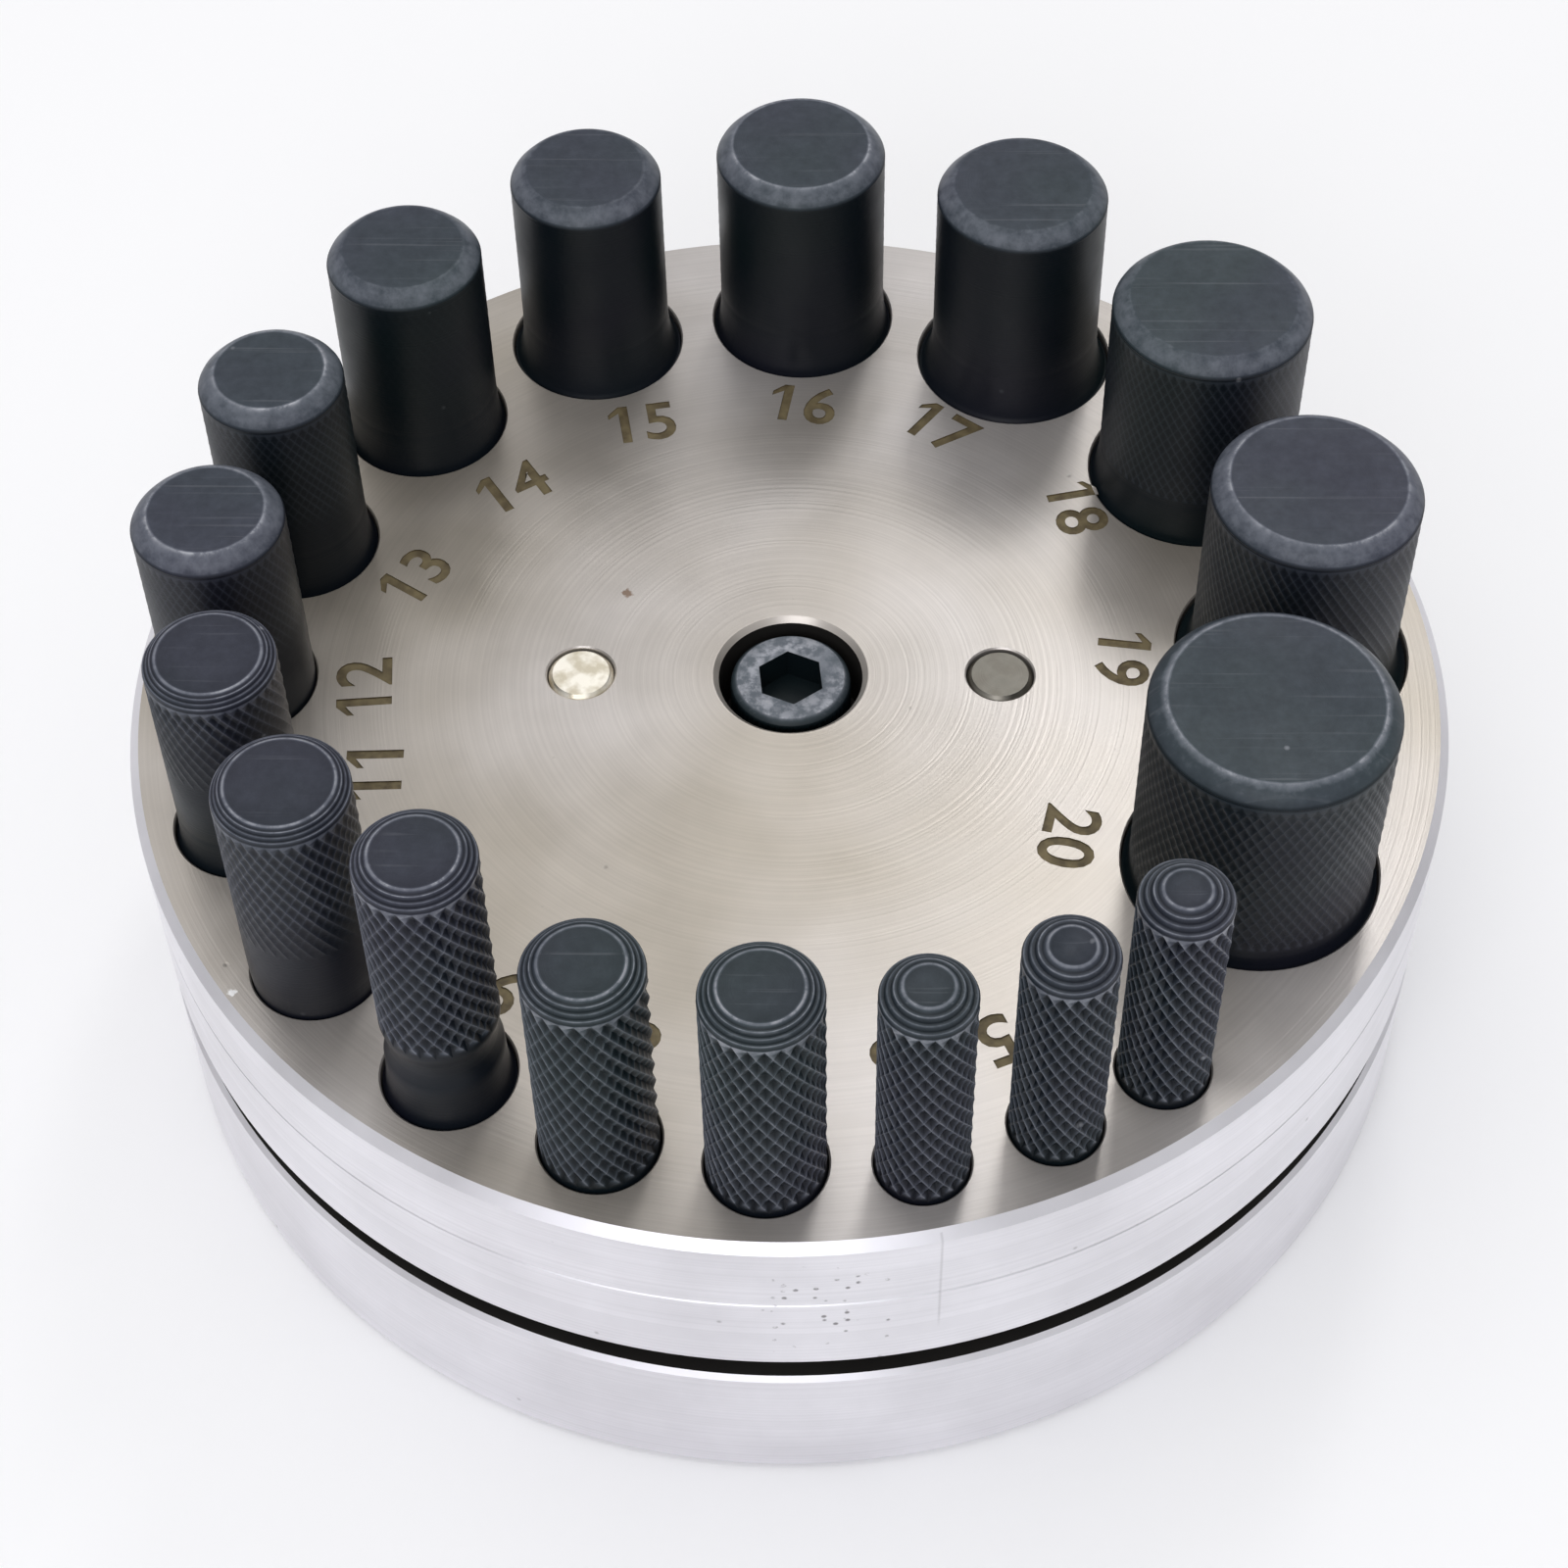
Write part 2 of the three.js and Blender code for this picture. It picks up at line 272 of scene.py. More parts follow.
def add_node(tree, kind, inputs=None, **settings):
    made = tree.nodes.new(kind)
    for key, value in settings.items():
        setattr(made, key, value)
    for key, value in (inputs or {}).items():
        socket = made.inputs[key]
        if isinstance(value, bpy.types.NodeSocket):
            tree.links.new(value, socket)
        else:
            socket.default_value = value
    return made


def maths(tree, operation, a, b=0.0, clamp=False):
    made = add_node(tree, "ShaderNodeMath", {0: a, 1: b}, operation=operation, use_clamp=clamp)
    return made.outputs[0]


def ramp(tree, value, start, end, low=0.0, high=1.0):
    """Takes value from start..end to low..high, and holds it there."""
    made = add_node(
        tree, "ShaderNodeMapRange",
        {"Value": value, "From Min": start, "From Max": end, "To Min": low, "To Max": high},
    )
    return made.outputs["Result"]


def blend_colours(tree, share, first, second):
    made = add_node(
        tree, "ShaderNodeMix", {0: share, 6: first, 7: second}, data_type="RGBA",
    )
    return made.outputs[2]


def grain(tree, vector, scale, detail=2.0, roughness=0.5):
    made = add_node(
        tree, "ShaderNodeTexNoise",
        {"Vector": vector, "Scale": scale, "Detail": detail, "Roughness": roughness},
    )
    return made.outputs["Fac"]


def line_grain(tree, distance, scale, detail=2.0):
    """Noise that changes along one distance only, as turned and ground marks do."""
    made = add_node(
        tree, "ShaderNodeTexNoise", {"W": distance, "Scale": scale, "Detail": detail},
        noise_dimensions="1D",
    )
    return made.outputs["Fac"]


def new_group(name, inputs, outputs):
    """A shader node group; inputs are (name, type, value) and outputs are (name, type)."""
    tree = bpy.data.node_groups.new(name, "ShaderNodeTree")
    for label, kind, value in inputs:
        socket = tree.interface.new_socket(label, in_out="INPUT", socket_type=kind)
        if value is not None:
            socket.default_value = value
    for label, kind in outputs:
        tree.interface.new_socket(label, in_out="OUTPUT", socket_type=kind)
    return tree, add_node(tree, "NodeGroupInput").outputs, add_node(tree, "NodeGroupOutput").inputs


def place_group(tree, group, **inputs):
    return add_node(tree, "ShaderNodeGroup", inputs, node_tree=group).outputs


def turning_marks_group():
    """Rings that a lathe tool leaves: fine feed lines and a few deeper ones."""
    tree, given, result = new_group(
        "turning_marks",
        [("Place", "NodeSocketVector", None), ("Fine", "NodeSocketFloat", 9000.0),
         ("Coarse", "NodeSocketFloat", 900.0)],
        [("Height", "NodeSocketFloat"), ("Bands", "NodeSocketFloat")],
    )
    parts = add_node(tree, "ShaderNodeSeparateXYZ", {0: given["Place"]}).outputs
    flat = add_node(tree, "ShaderNodeCombineXYZ", {0: parts["X"], 1: parts["Y"]}).outputs[0]
    radius = add_node(tree, "ShaderNodeVectorMath", {0: flat}, operation="LENGTH").outputs["Value"]
    across = maths(tree, "ADD", radius, maths(tree, "MULTIPLY", parts["Z"], 0.83))
    fine = line_grain(tree, across, given["Fine"], 3.0)
    coarse = line_grain(tree, across, given["Coarse"], 4.0)
    height = maths(tree, "ADD", fine, maths(tree, "MULTIPLY", coarse, 0.3))
    tree.links.new(height, result["Height"])
    tree.links.new(coarse, result["Bands"])
    return tree


def specks_group():
    """Scattered small spots, of which only some are there."""
    tree, given, result = new_group(
        "specks",
        [("Place", "NodeSocketVector", None), ("Scale", "NodeSocketFloat", 120.0),
         ("Size", "NodeSocketFloat", 0.06), ("Share", "NodeSocketFloat", 0.2)],
        [("Mask", "NodeSocketFloat")],
    )
    cells = add_node(
        tree, "ShaderNodeTexVoronoi", {"Vector": given["Place"], "Scale": given["Scale"]},
    ).outputs
    chance = add_node(tree, "ShaderNodeSeparateColor", {0: cells["Color"]}).outputs
    near = ramp(tree, cells["Distance"], given["Size"], 0.0)
    chosen = maths(tree, "LESS_THAN", chance[0], given["Share"])
    mask = maths(tree, "MULTIPLY", near, chosen, clamp=True)
    tree.links.new(mask, result["Mask"])
    return tree


def new_material(name):
    material = bpy.data.materials.new(name)
    material.use_nodes = True
    tree = material.node_tree
    shader = tree.nodes["Principled BSDF"]
    return material, tree, shader


def own_place(tree):
    return add_node(tree, "ShaderNodeTexCoord").outputs["Object"]


def bumped(tree, height, strength, distance):
    made = add_node(
        tree, "ShaderNodeBump", {"Height": height, "Strength": strength, "Distance": distance},
    )
    return made.outputs["Normal"]


def placed_mark_group():
    """One soft round mark at a given place."""
    tree, given, result = new_group(
        "placed_mark",
        [("Place", "NodeSocketVector", None), ("Centre", "NodeSocketVector", None),
         ("Radius", "NodeSocketFloat", 0.0005)],
        [("Mask", "NodeSocketFloat")],
    )
    wobble = grain(tree, given["Place"], 2500.0)
    away = add_node(
        tree, "ShaderNodeVectorMath", {0: given["Place"], 1: given["Centre"]}, operation="DISTANCE",
    ).outputs["Value"]
    share = maths(tree, "DIVIDE", away, given["Radius"])
    ragged = maths(tree, "ADD", share, ramp(tree, wobble, 0.3, 0.7, -0.35, 0.35))
    tree.links.new(ramp(tree, ragged, 1.0, 0.6), result["Mask"])
    return tree


def scribed_line_group():
    """A short upright line on the rim, scribed across the seam to align the plates."""
    tree, given, result = new_group(
        "scribed_line", [("Place", "NodeSocketVector", None)], [("Mask", "NodeSocketFloat")],
    )
    along = math.radians(SCRIBED_DIRECTION)
    square = (-math.sin(along), math.cos(along), 0)
    aside = add_node(
        tree, "ShaderNodeVectorMath", {0: given["Place"], 1: square}, operation="DOT_PRODUCT",
    ).outputs["Value"]
    near = ramp(
        tree, maths(tree, "ABSOLUTE", aside), SCRIBED_HALF_WIDTH * MM, (SCRIBED_HALF_WIDTH - 0.1) * MM,
    )
    outward = add_node(
        tree, "ShaderNodeVectorMath",
        {0: given["Place"], 1: (math.cos(along), math.sin(along), 0)}, operation="DOT_PRODUCT",
    ).outputs["Value"]
    height = add_node(tree, "ShaderNodeSeparateXYZ", {0: given["Place"]}).outputs["Z"]
    above = ramp(tree, height, SCRIBED_BOTTOM * MM, (SCRIBED_BOTTOM + 2) * MM)
    on_rim = maths(tree, "GREATER_THAN", outward, (PLATE_RADIUS - 0.5) * MM)
    mask = maths(tree, "MULTIPLY", maths(tree, "MULTIPLY", near, on_rim), above)
    tree.links.new(maths(tree, "MULTIPLY", mask, 0.22), result["Mask"])
    return tree


def block_mark(tree, placed_mark, place, mark):
    """Mask of one of the marks on the block."""
    (direction, distance, height), radius = mark
    angle = math.radians(direction)
    centre = Vector((distance * math.cos(angle), distance * math.sin(angle), height)) * MM
    return place_group(tree, placed_mark, Place=place, Centre=centre, Radius=radius * MM)["Mask"]


def turned_steel(name, groups, colours, bands, fine_strength):
    """Bare turned steel: rings, soft staining, dull patches, pits and rust specks."""
    turning, specks, placed_mark, scribed_line = groups
    material, tree, shader = new_material(name)
    place = own_place(tree)
    rings = place_group(tree, turning, Place=place, Fine=3400.0, Coarse=500.0)
    patches = grain(tree, place, 22.0, 3.0)
    clouds = grain(tree, place, 90.0, 4.0, 0.6)
    warm = blend_colours(tree, ramp(tree, patches, 0.38, 0.62), *colours)
    shade = ramp(tree, clouds, 0.3, 0.7, 0.92, 1.05)
    fine = ramp(tree, rings["Height"], 0.5, 0.8, 0.97, 1.03)
    tone = maths(tree, "MULTIPLY", shade, ramp(tree, rings["Bands"], 0.3, 0.7, 1 - bands, 1 + bands))
    tone = maths(tree, "MULTIPLY", tone, fine)
    toned = add_node(
        tree, "ShaderNodeVectorMath", {0: warm, "Scale": tone}, operation="SCALE",
    ).outputs["Vector"]
    rust = place_group(tree, specks, Place=place, Scale=95.0, Size=0.05, Share=0.10)["Mask"]
    rust = maths(tree, "MAXIMUM", rust, block_mark(tree, placed_mark, place, RUST_SPOT))
    nick = block_mark(tree, placed_mark, place, BRIGHT_NICK)
    pits = place_group(tree, specks, Place=place, Scale=420.0, Size=0.11, Share=0.10)["Mask"]
    spotted = blend_colours(tree, maths(tree, "MULTIPLY", rust, 0.8), toned, (0.17, 0.09, 0.04, 1))
    spotted = blend_colours(tree, maths(tree, "MULTIPLY", pits, 0.6), spotted, (0.12, 0.11, 0.10, 1))
    spotted = blend_colours(tree, nick, spotted, (0.95, 0.95, 0.95, 1))
    patch = block_mark(tree, placed_mark, place, PITTED_PATCH)
    pitted = place_group(tree, specks, Place=place, Scale=1300.0, Size=0.32, Share=0.34)["Mask"]
    pitted = maths(tree, "MULTIPLY", patch, ramp(tree, pitted, 0.0, 0.4))
    scribed = place_group(tree, scribed_line, Place=place)["Mask"]
    marks = maths(tree, "MAXIMUM", maths(tree, "MULTIPLY", pitted, 0.8), scribed)
    spotted = blend_colours(tree, marks, spotted, (0.13, 0.12, 0.12, 1))
    tree.links.new(spotted, shader.inputs["Base Color"])
    tree.links.new(ramp(tree, rust, 0.0, 1.0, 0.64, 0.3), shader.inputs["Metallic"])
    tree.links.new(ramp(tree, clouds, 0.3, 0.7, 0.29, 0.36), shader.inputs["Roughness"])
    shader.inputs["Anisotropic"].default_value = 0.3
    height = maths(tree, "SUBTRACT", rings["Height"], maths(tree, "MULTIPLY", pits, 2.0))
    tree.links.new(bumped(tree, height, fine_strength, 0.00002), shader.inputs["Normal"])
    return material


def oily_steel(name):
    """Painted shade: near-black steel for the faces in the slots, the seams and the counterbore."""
    material, tree, shader = new_material(name)
    clouds = grain(tree, own_place(tree), 120.0, 3.0)
    colour = blend_colours(tree, clouds, (0.012, 0.011, 0.010, 1), (0.03, 0.028, 0.026, 1))
    tree.links.new(colour, shader.inputs["Base Color"])
    shader.inputs["Specular IOR Level"].default_value = 0.2
    shader.inputs["Roughness"].default_value = 0.5
    return material


def engraved_paint(name):
    """The etched floor of the size numbers, brown from the marking."""
    material, tree, shader = new_material(name)
    place = own_place(tree)
    mottle = grain(tree, place, 900.0, 3.0)
    colour = blend_colours(
        tree, ramp(tree, mottle, 0.35, 0.65),
        (0.085, 0.062, 0.028, 1), (0.20, 0.16, 0.085, 1),
    )
    tree.links.new(colour, shader.inputs["Base Color"])
    tree.links.new(ramp(tree, mottle, 0.35, 0.65, 0.1, 0.45), shader.inputs["Metallic"])
    shader.inputs["Roughness"].default_value = 0.6
    tree.links.new(bumped(tree, mottle, 0.5, 0.00005), shader.inputs["Normal"])
    return material


def ground_pin_steel(name, turning, dull, bright):
    material, tree, shader = new_material(name)
    place = add_node(tree, "ShaderNodeAttribute", attribute_name="place").outputs["Vector"]
    rings = place_group(tree, turning, Place=place, Fine=9000.0, Coarse=1500.0)
    patches = grain(tree, place, 500.0, 3.0)
    colour = blend_colours(
        tree, ramp(tree, patches, 0.42, 0.58), dull, bright,
    )
    tree.links.new(colour, shader.inputs["Base Color"])
    shader.inputs["Metallic"].default_value = 1.0
    tree.links.new(ramp(tree, patches, 0.3, 0.7, 0.28, 0.45), shader.inputs["Roughness"])
    tree.links.new(bumped(tree, rings["Height"], 0.3, 0.00002), shader.inputs["Normal"])
    return material


def black_oxide(name, turning, specks):
    """Blackened tool steel: near black, blue or green in places, with rubbed grey crests and tops. The
    tops are painted lighter than the sides as painted light from above, and the crests and chamfers
    carry a painted highlight.
    """
    material, tree, shader = new_material(name)
    spot = own_place(tree)
    place = add_node(tree, "ShaderNodeAttribute", attribute_name="place").outputs["Vector"]
    wear_and_light = add_node(tree, "ShaderNodeAttribute", attribute_name="wear_and_light").outputs["Fac"]
    rings = place_group(tree, turning, Place=place, Fine=7000.0, Coarse=1200.0)
    clouds = grain(tree, spot, 180.0, 3.0)
    tint = grain(tree, spot, 45.0, 2.0)
    rub = grain(tree, spot, 900.0, 4.0, 0.65)
    black = blend_colours(
        tree, ramp(tree, tint, 0.35, 0.65), (0.004, 0.009, 0.011, 1), (0.006, 0.007, 0.013, 1),
    )
    grey = blend_colours(
        tree, ramp(tree, tint, 0.35, 0.65), (0.084, 0.108, 0.124, 1), (0.092, 0.100, 0.136, 1),
    )
    # The tops carry higher values than the sides and come out lighter grey: partly rubbing, partly
    # painted light from above.
    rubbed_wear_and_light = maths(tree, "MULTIPLY", wear_and_light, ramp(tree, rub, 0.3, 0.7, 0.93, 1.04), clamp=True)
    body = blend_colours(tree, maths(tree, "POWER", rubbed_wear_and_light, 4.0), black, grey)
    # High values are blended towards a light grey on ridges, lips and chamfers: partly rubbing, partly
    # a painted highlight.
    crest_wear_and_highlight = ramp(tree, rubbed_wear_and_light, 0.84, 1.0, 0.0, 0.55)
    body = blend_colours(tree, crest_wear_and_highlight, body, (0.21, 0.22, 0.25, 1))
    long_way = add_node(
        tree, "ShaderNodeMapping", {"Vector": spot, "Rotation": (0, 0, 0.25), "Scale": (60, 2400, 60)},
    ).outputs[0]
    scratch = ramp(tree, grain(tree, long_way, 1.0, 2.0), 0.62, 0.78)
    # Only the flats of the tops carry abrasion-and-light values between 0.74 and 0.83.
    on_top = maths(tree, "MULTIPLY", ramp(tree, wear_and_light, 0.70, 0.74), ramp(tree, wear_and_light, 0.87, 0.83))
    bare = maths(tree, "MULTIPLY", ramp(tree, wear_and_light, 0.94, 1.0), ramp(tree, rub, 0.44, 0.60))
    bare = maths(tree, "MULTIPLY", bare, ramp(tree, clouds, 0.40, 0.58, 0.15, 1.0), clamp=True)
    marks = maths(tree, "MULTIPLY", maths(tree, "MULTIPLY", scratch, on_top), 0.14)
    bare = maths(tree, "MAXIMUM", bare, marks)
    nicks = place_group(tree, specks, Place=spot, Scale=330.0, Size=0.10, Share=0.10)["Mask"]
    bare = maths(tree, "MAXIMUM", bare, maths(tree, "MULTIPLY", nicks, wear_and_light))
    colour = blend_colours(tree, bare, body, (0.36, 0.37, 0.40, 1))
    tree.links.new(colour, shader.inputs["Base Color"])
    tree.links.new(maths(tree, "MULTIPLY", bare, 0.7), shader.inputs["Metallic"])
    tree.links.new(ramp(tree, clouds, 0.3, 0.7, 0.36, 0.48), shader.inputs["Roughness"])
    shader.inputs["Specular IOR Level"].default_value = 0.2
    height = maths(tree, "ADD", rings["Height"], maths(tree, "MULTIPLY", rub, 0.5))
    tree.links.new(bumped(tree, height, 0.35, 0.00003), shader.inputs["Normal"])
    return material


def studio_floor(name):
    material, tree, shader = new_material(name)
    mottle = grain(tree, own_place(tree), 3.0, 2.0)
    colour = blend_colours(
        tree, mottle, (0.95, 0.95, 0.955, 1), (0.96, 0.96, 0.96, 1),
    )
    tree.links.new(colour, shader.inputs["Base Color"])
    shader.inputs["Roughness"].default_value = 0.7
    return material


# ---- Block ----


def left_sides_of_ones(points):
    """Left sides of the figures one, which are the outlines with four corners."""
    for edge in {e for v in points for e in v.link_edges}:
        beside = [
            next(e for e in v.link_edges if e != edge).other_vert(v) for v in edge.verts
        ]
        closed = any(e.other_vert(beside[0]) == beside[1] for e in beside[0].link_edges)
        if closed and all(b.co.x > v.co.x + 0.01 for b, v in zip(beside, edge.verts)):
            yield edge


def add_flag(edge, height):
    """Draws the flag of a figure one out of the left side of its stem and gives its points."""
    foot, head = sorted(edge.verts, key=lambda v: v.co.y)
    left, top = head.co.xy
    flag = []
    for out, down in ((0, FLAG_FOOT), (FLAG_OUT, FLAG_DOWN + FLAG_TIP), (FLAG_OUT, FLAG_DOWN)):
        point = bmesh.utils.edge_split(edge, foot, 0.5)[1]
        point.co.xy = (left - out * height, top - down * height)
        edge = next(e for e in point.link_edges if head in e.verts)
        foot = point
        flag.append(point)
    return flag


def number_outline(bm, size):
    """Adds the outline of a size number beside its hole and gives the outline's edges."""
    lettering = bpy.data.curves.new("size_number", "FONT")
    lettering.body = str(size)
    lettering.resolution_u = 4
    lettering.offset = NUMBER_BOLDNESS
    lettering.align_x = "CENTER"
    holder = bpy.data.objects.new("size_number", lettering)
    flat = bpy.data.meshes.new_from_object(holder)
    bpy.data.objects.remove(holder)
    before = set(bm.verts)
    bm.from_mesh(flat)
    bpy.data.meshes.remove(flat)
    points = [v for v in bm.verts if v not in before]
    faces = list({f for v in points for f in v.link_faces})
    bmesh.ops.delete(bm, geom=faces, context="FACES_KEEP_BOUNDARY")
    bmesh.ops.remove_doubles(bm, verts=points, dist=1e-5)
    points = [v for v in points if v.is_valid]
    low = min(v.co.y for v in points)
    high = max(v.co.y for v in points)
    left = min(v.co.x for v in points)
    right = max(v.co.x for v in points)
    for edge in list(left_sides_of_ones(points)):
        points += add_flag(edge, high - low)
    scale = NUMBER_HEIGHT / (high - low)
    centre = axis_of(punch_node(size))
    square = math.degrees(math.atan2(centre.y, centre.x))
    inner_edge = centre.length - shank_radius(size)
    direction, distance, up = NUMBER_SEATS.get(
        size, (square, inner_edge - NUMBER_INSIDE_HOLE, square),
    )
    seat = Vector((math.cos(math.radians(direction)), math.sin(math.radians(direction)))) * distance
    turn = math.radians(up - 90)
    put = (
        Matrix.Translation((seat.x, seat.y, BLOCK_TOP))
        @ Matrix.Rotation(turn, 4, "Z")
        @ Matrix.Scale(scale, 4)
        @ Matrix.Translation((-(left + right) / 2, -(low + high) / 2, 0))
    )
    bmesh.ops.transform(bm, matrix=put, verts=points)
    return list({e for v in points for e in v.link_edges})


def plate(bm, rim, holes, numbers=(), pockets=()):
    """A round plate. rim, holes and pockets are (steps, centre, outline) from the top down."""
    tops, bottoms = [], []
    for steps, centre, outline in [rim, *holes, *pockets]:
        radius, height = outline[0]
        loop = ring(bm, radius, height, centre, steps)
        tops += loop
        last = carry(bm, loop, centre, radius, outline[1:])
        if (steps, centre, outline) in pockets:
            fill_sheet(bm, last)
        else:
            bottoms += last
    fill_sheet(bm, tops + list(numbers))
    fill_sheet(bm, bottoms, -1)


# Order of the materials on a plate.
LIT_RIM_STEEL, SHADE_STEEL, PAINT = 1, 2, 3


def use_rim_steel(bm):
    """Gives the rim's lighter, cooler steel to the faces of the plate's rim and its chamfer: painted
    light on the sides and a painted highlight on the chamfer.
    """
    for face in bm.faces:
        if face.calc_center_median().xy.length > PLATE_RADIUS - 0.6:
            face.material_index = LIT_RIM_STEEL


def use_dark_steel(bm, low, high, inside=PLATE_RADIUS):
    """Gives the dark painted-shade steel to the faces that lie wholly between two heights."""
    for face in bm.faces:
        heights = [v.co.z for v in face.verts]
        if low < min(heights) and max(heights) < high:
            if face.calc_center_median().xy.length < inside:
                face.material_index = SHADE_STEEL


def straight_hole(centre, radius, top, bottom, steps=HOLE_STEPS):
    """A through hole whose two mouths have a broken edge."""
    return steps, centre, [
        (radius + EDGE_BREAK, top), (radius, top - EDGE_BREAK),
        (radius, bottom + EDGE_BREAK), (radius + EDGE_BREAK, bottom),
    ]


def dowel_radius(node):
    low, high = node_box(node)
    return (high.x - low.x) / 2


def dowel_holes(top, bottom):
    return [
        straight_hole(axis_of(n), dowel_radius(n) + RUNNING_CLEARANCE, top, bottom)
        for n in DOWEL_NODES
    ]


def make_guide_plate(steel, lit_rim_steel, shade_steel, paint):
    bm = new_mesh()
    top, bottom = guide_high.z, guide_low.z
    rim = (RIM_STEPS, (0, 0), [
        (PLATE_RADIUS - RIM_CHAMFER, top), (PLATE_RADIUS, top - RIM_CHAMFER),
        (PLATE_RADIUS, bottom + EDGE_BREAK), (PLATE_RADIUS - EDGE_BREAK, bottom),
    ])
    holes = [
        straight_hole(
            axis_of(punch_node(size)), shank_radius(size) + RUNNING_CLEARANCE, top, bottom,
        )
        for size in SIZES
    ]
    screw_hole = (HOLE_STEPS, (0, 0), [
        (COUNTERBORE_RADIUS + COUNTERBORE_CHAMFER, top),
        (COUNTERBORE_RADIUS, top - COUNTERBORE_CHAMFER),
        (COUNTERBORE_RADIUS, COUNTERBORE_FLOOR),
        (SCREW_HOLE_RADIUS, COUNTERBORE_FLOOR),
        (SCREW_HOLE_RADIUS, bottom),
    ])
    numbers = []
    for size in SIZES:
        numbers += number_outline(bm, size)
    plate(bm, rim, [*holes, *dowel_holes(top, bottom), screw_hole], numbers)
    sunk = bmesh.ops.extrude_edge_only(bm, edges=numbers)["geom"]
    points = [g for g in sunk if isinstance(g, bmesh.types.BMVert)]
    walls = [g for g in sunk if isinstance(g, bmesh.types.BMFace)]
    bmesh.ops.translate(bm, vec=(0, 0, -NUMBER_DEPTH), verts=points)
    fresh = set(points)
    floor_edges = [
        g for g in sunk if isinstance(g, bmesh.types.BMEdge) and fresh.issuperset(g.verts)
    ]
    floors = fill_sheet(bm, floor_edges)
    use_rim_steel(bm)
    # The counterbore and the bottom face with its edge breaks are painted dark: painted shade.
    use_dark_steel(bm, COUNTERBORE_FLOOR - 0.1, top - 0.01, COUNTERBORE_RADIUS + 0.01)
    use_dark_steel(bm, bottom - 0.01, bottom + EDGE_BREAK + 0.01)
    for face in walls + floors:
        face.material_index = PAINT
    return finish_piece(
        bm, "guide_plate_turned", [steel, lit_rim_steel, shade_steel, paint], "clamped_plates",
        "guide_plate",
    )


def make_stripper_plate(steel, lit_rim_steel, shade_steel):
    bm = new_mesh()
    top, bottom = stripper_high.z, stripper_low.z
    rim = (RIM_STEPS, (0, 0), [
        (PLATE_RADIUS - EDGE_BREAK, top), (PLATE_RADIUS, top - EDGE_BREAK),
        (PLATE_RADIUS, bottom + EDGE_BREAK), (PLATE_RADIUS - EDGE_BREAK, bottom),
    ])
    holes = [
        straight_hole(axis_of(punch_node(size)), size / 2 + RUNNING_CLEARANCE, top, bottom)
        for size in SIZES
    ]
    holes += dowel_holes(top, bottom)
    holes.append(straight_hole((0, 0), SCREW_HOLE_RADIUS, top, bottom))
    plate(bm, rim, holes)
    use_rim_steel(bm)
    # The bottom face and its edge breaks are painted dark: painted shade in the slot.
    use_dark_steel(bm, bottom - 0.01, bottom + EDGE_BREAK + 0.01)
    return finish_piece(
        bm, "stripper_plate_turned", [steel, lit_rim_steel, shade_steel], "clamped_plates",
        "stripper_plate",
    )


def make_spacer(shade_steel):
    bm = new_mesh()
    top, bottom = spacer_high.z, spacer_low.z
    radius = spacer_high.x
    rim = (RIM_STEPS, (0, 0), [
        (radius - EDGE_BREAK, top), (radius, top - EDGE_BREAK),
        (radius, bottom + EDGE_BREAK), (radius - EDGE_BREAK, bottom),
    ])
    holes = dowel_holes(top, bottom)
    holes.append(straight_hole((0, 0), SCREW_HOLE_RADIUS, top, bottom))
    plate(bm, rim, holes)
    # The whole spacer is painted dark: painted shade inside the slot.
    return finish_piece(
        bm, "spacer_disc_turned", [shade_steel], "die_base", "spacer_disc",
    )


def make_die_plate(steel, lit_rim_steel, shade_steel):
    bm = new_mesh()
    top, bottom = die_high.z, die_low.z
    rim = (RIM_STEPS, (0, 0), [
        (PLATE_RADIUS - SLOT_EDGE_CHAMFER, top), (PLATE_RADIUS, top - SLOT_EDGE_CHAMFER),
        (PLATE_RADIUS, bottom + RIM_CHAMFER), (PLATE_RADIUS - RIM_CHAMFER, bottom),
    ])
    holes = [
        straight_hole(axis_of(punch_node(size)), size / 2 + RUNNING_CLEARANCE, top, bottom)
        for size in SIZES
    ]
    holes.append(straight_hole((0, 0), SCREW_HOLE_RADIUS, top, bottom))
    pockets = []
    for node in DOWEL_NODES:
        radius = dowel_radius(node) + RUNNING_CLEARANCE
        floor = node_box(node)[0].z - 0.3
        pockets.append((HOLE_STEPS, axis_of(node), [(radius, top), (radius, floor)]))
    plate(bm, rim, holes, (), pockets)
    use_rim_steel(bm)
    # The top face is painted dark: painted shade in the slot.
    use_dark_steel(bm, top - 0.01, top + 0.01)
    return finish_piece(
        bm, "die_plate_turned", [steel, lit_rim_steel, shade_steel], "die_base", "die_plate",
    )


# ---- Screw and pins ----


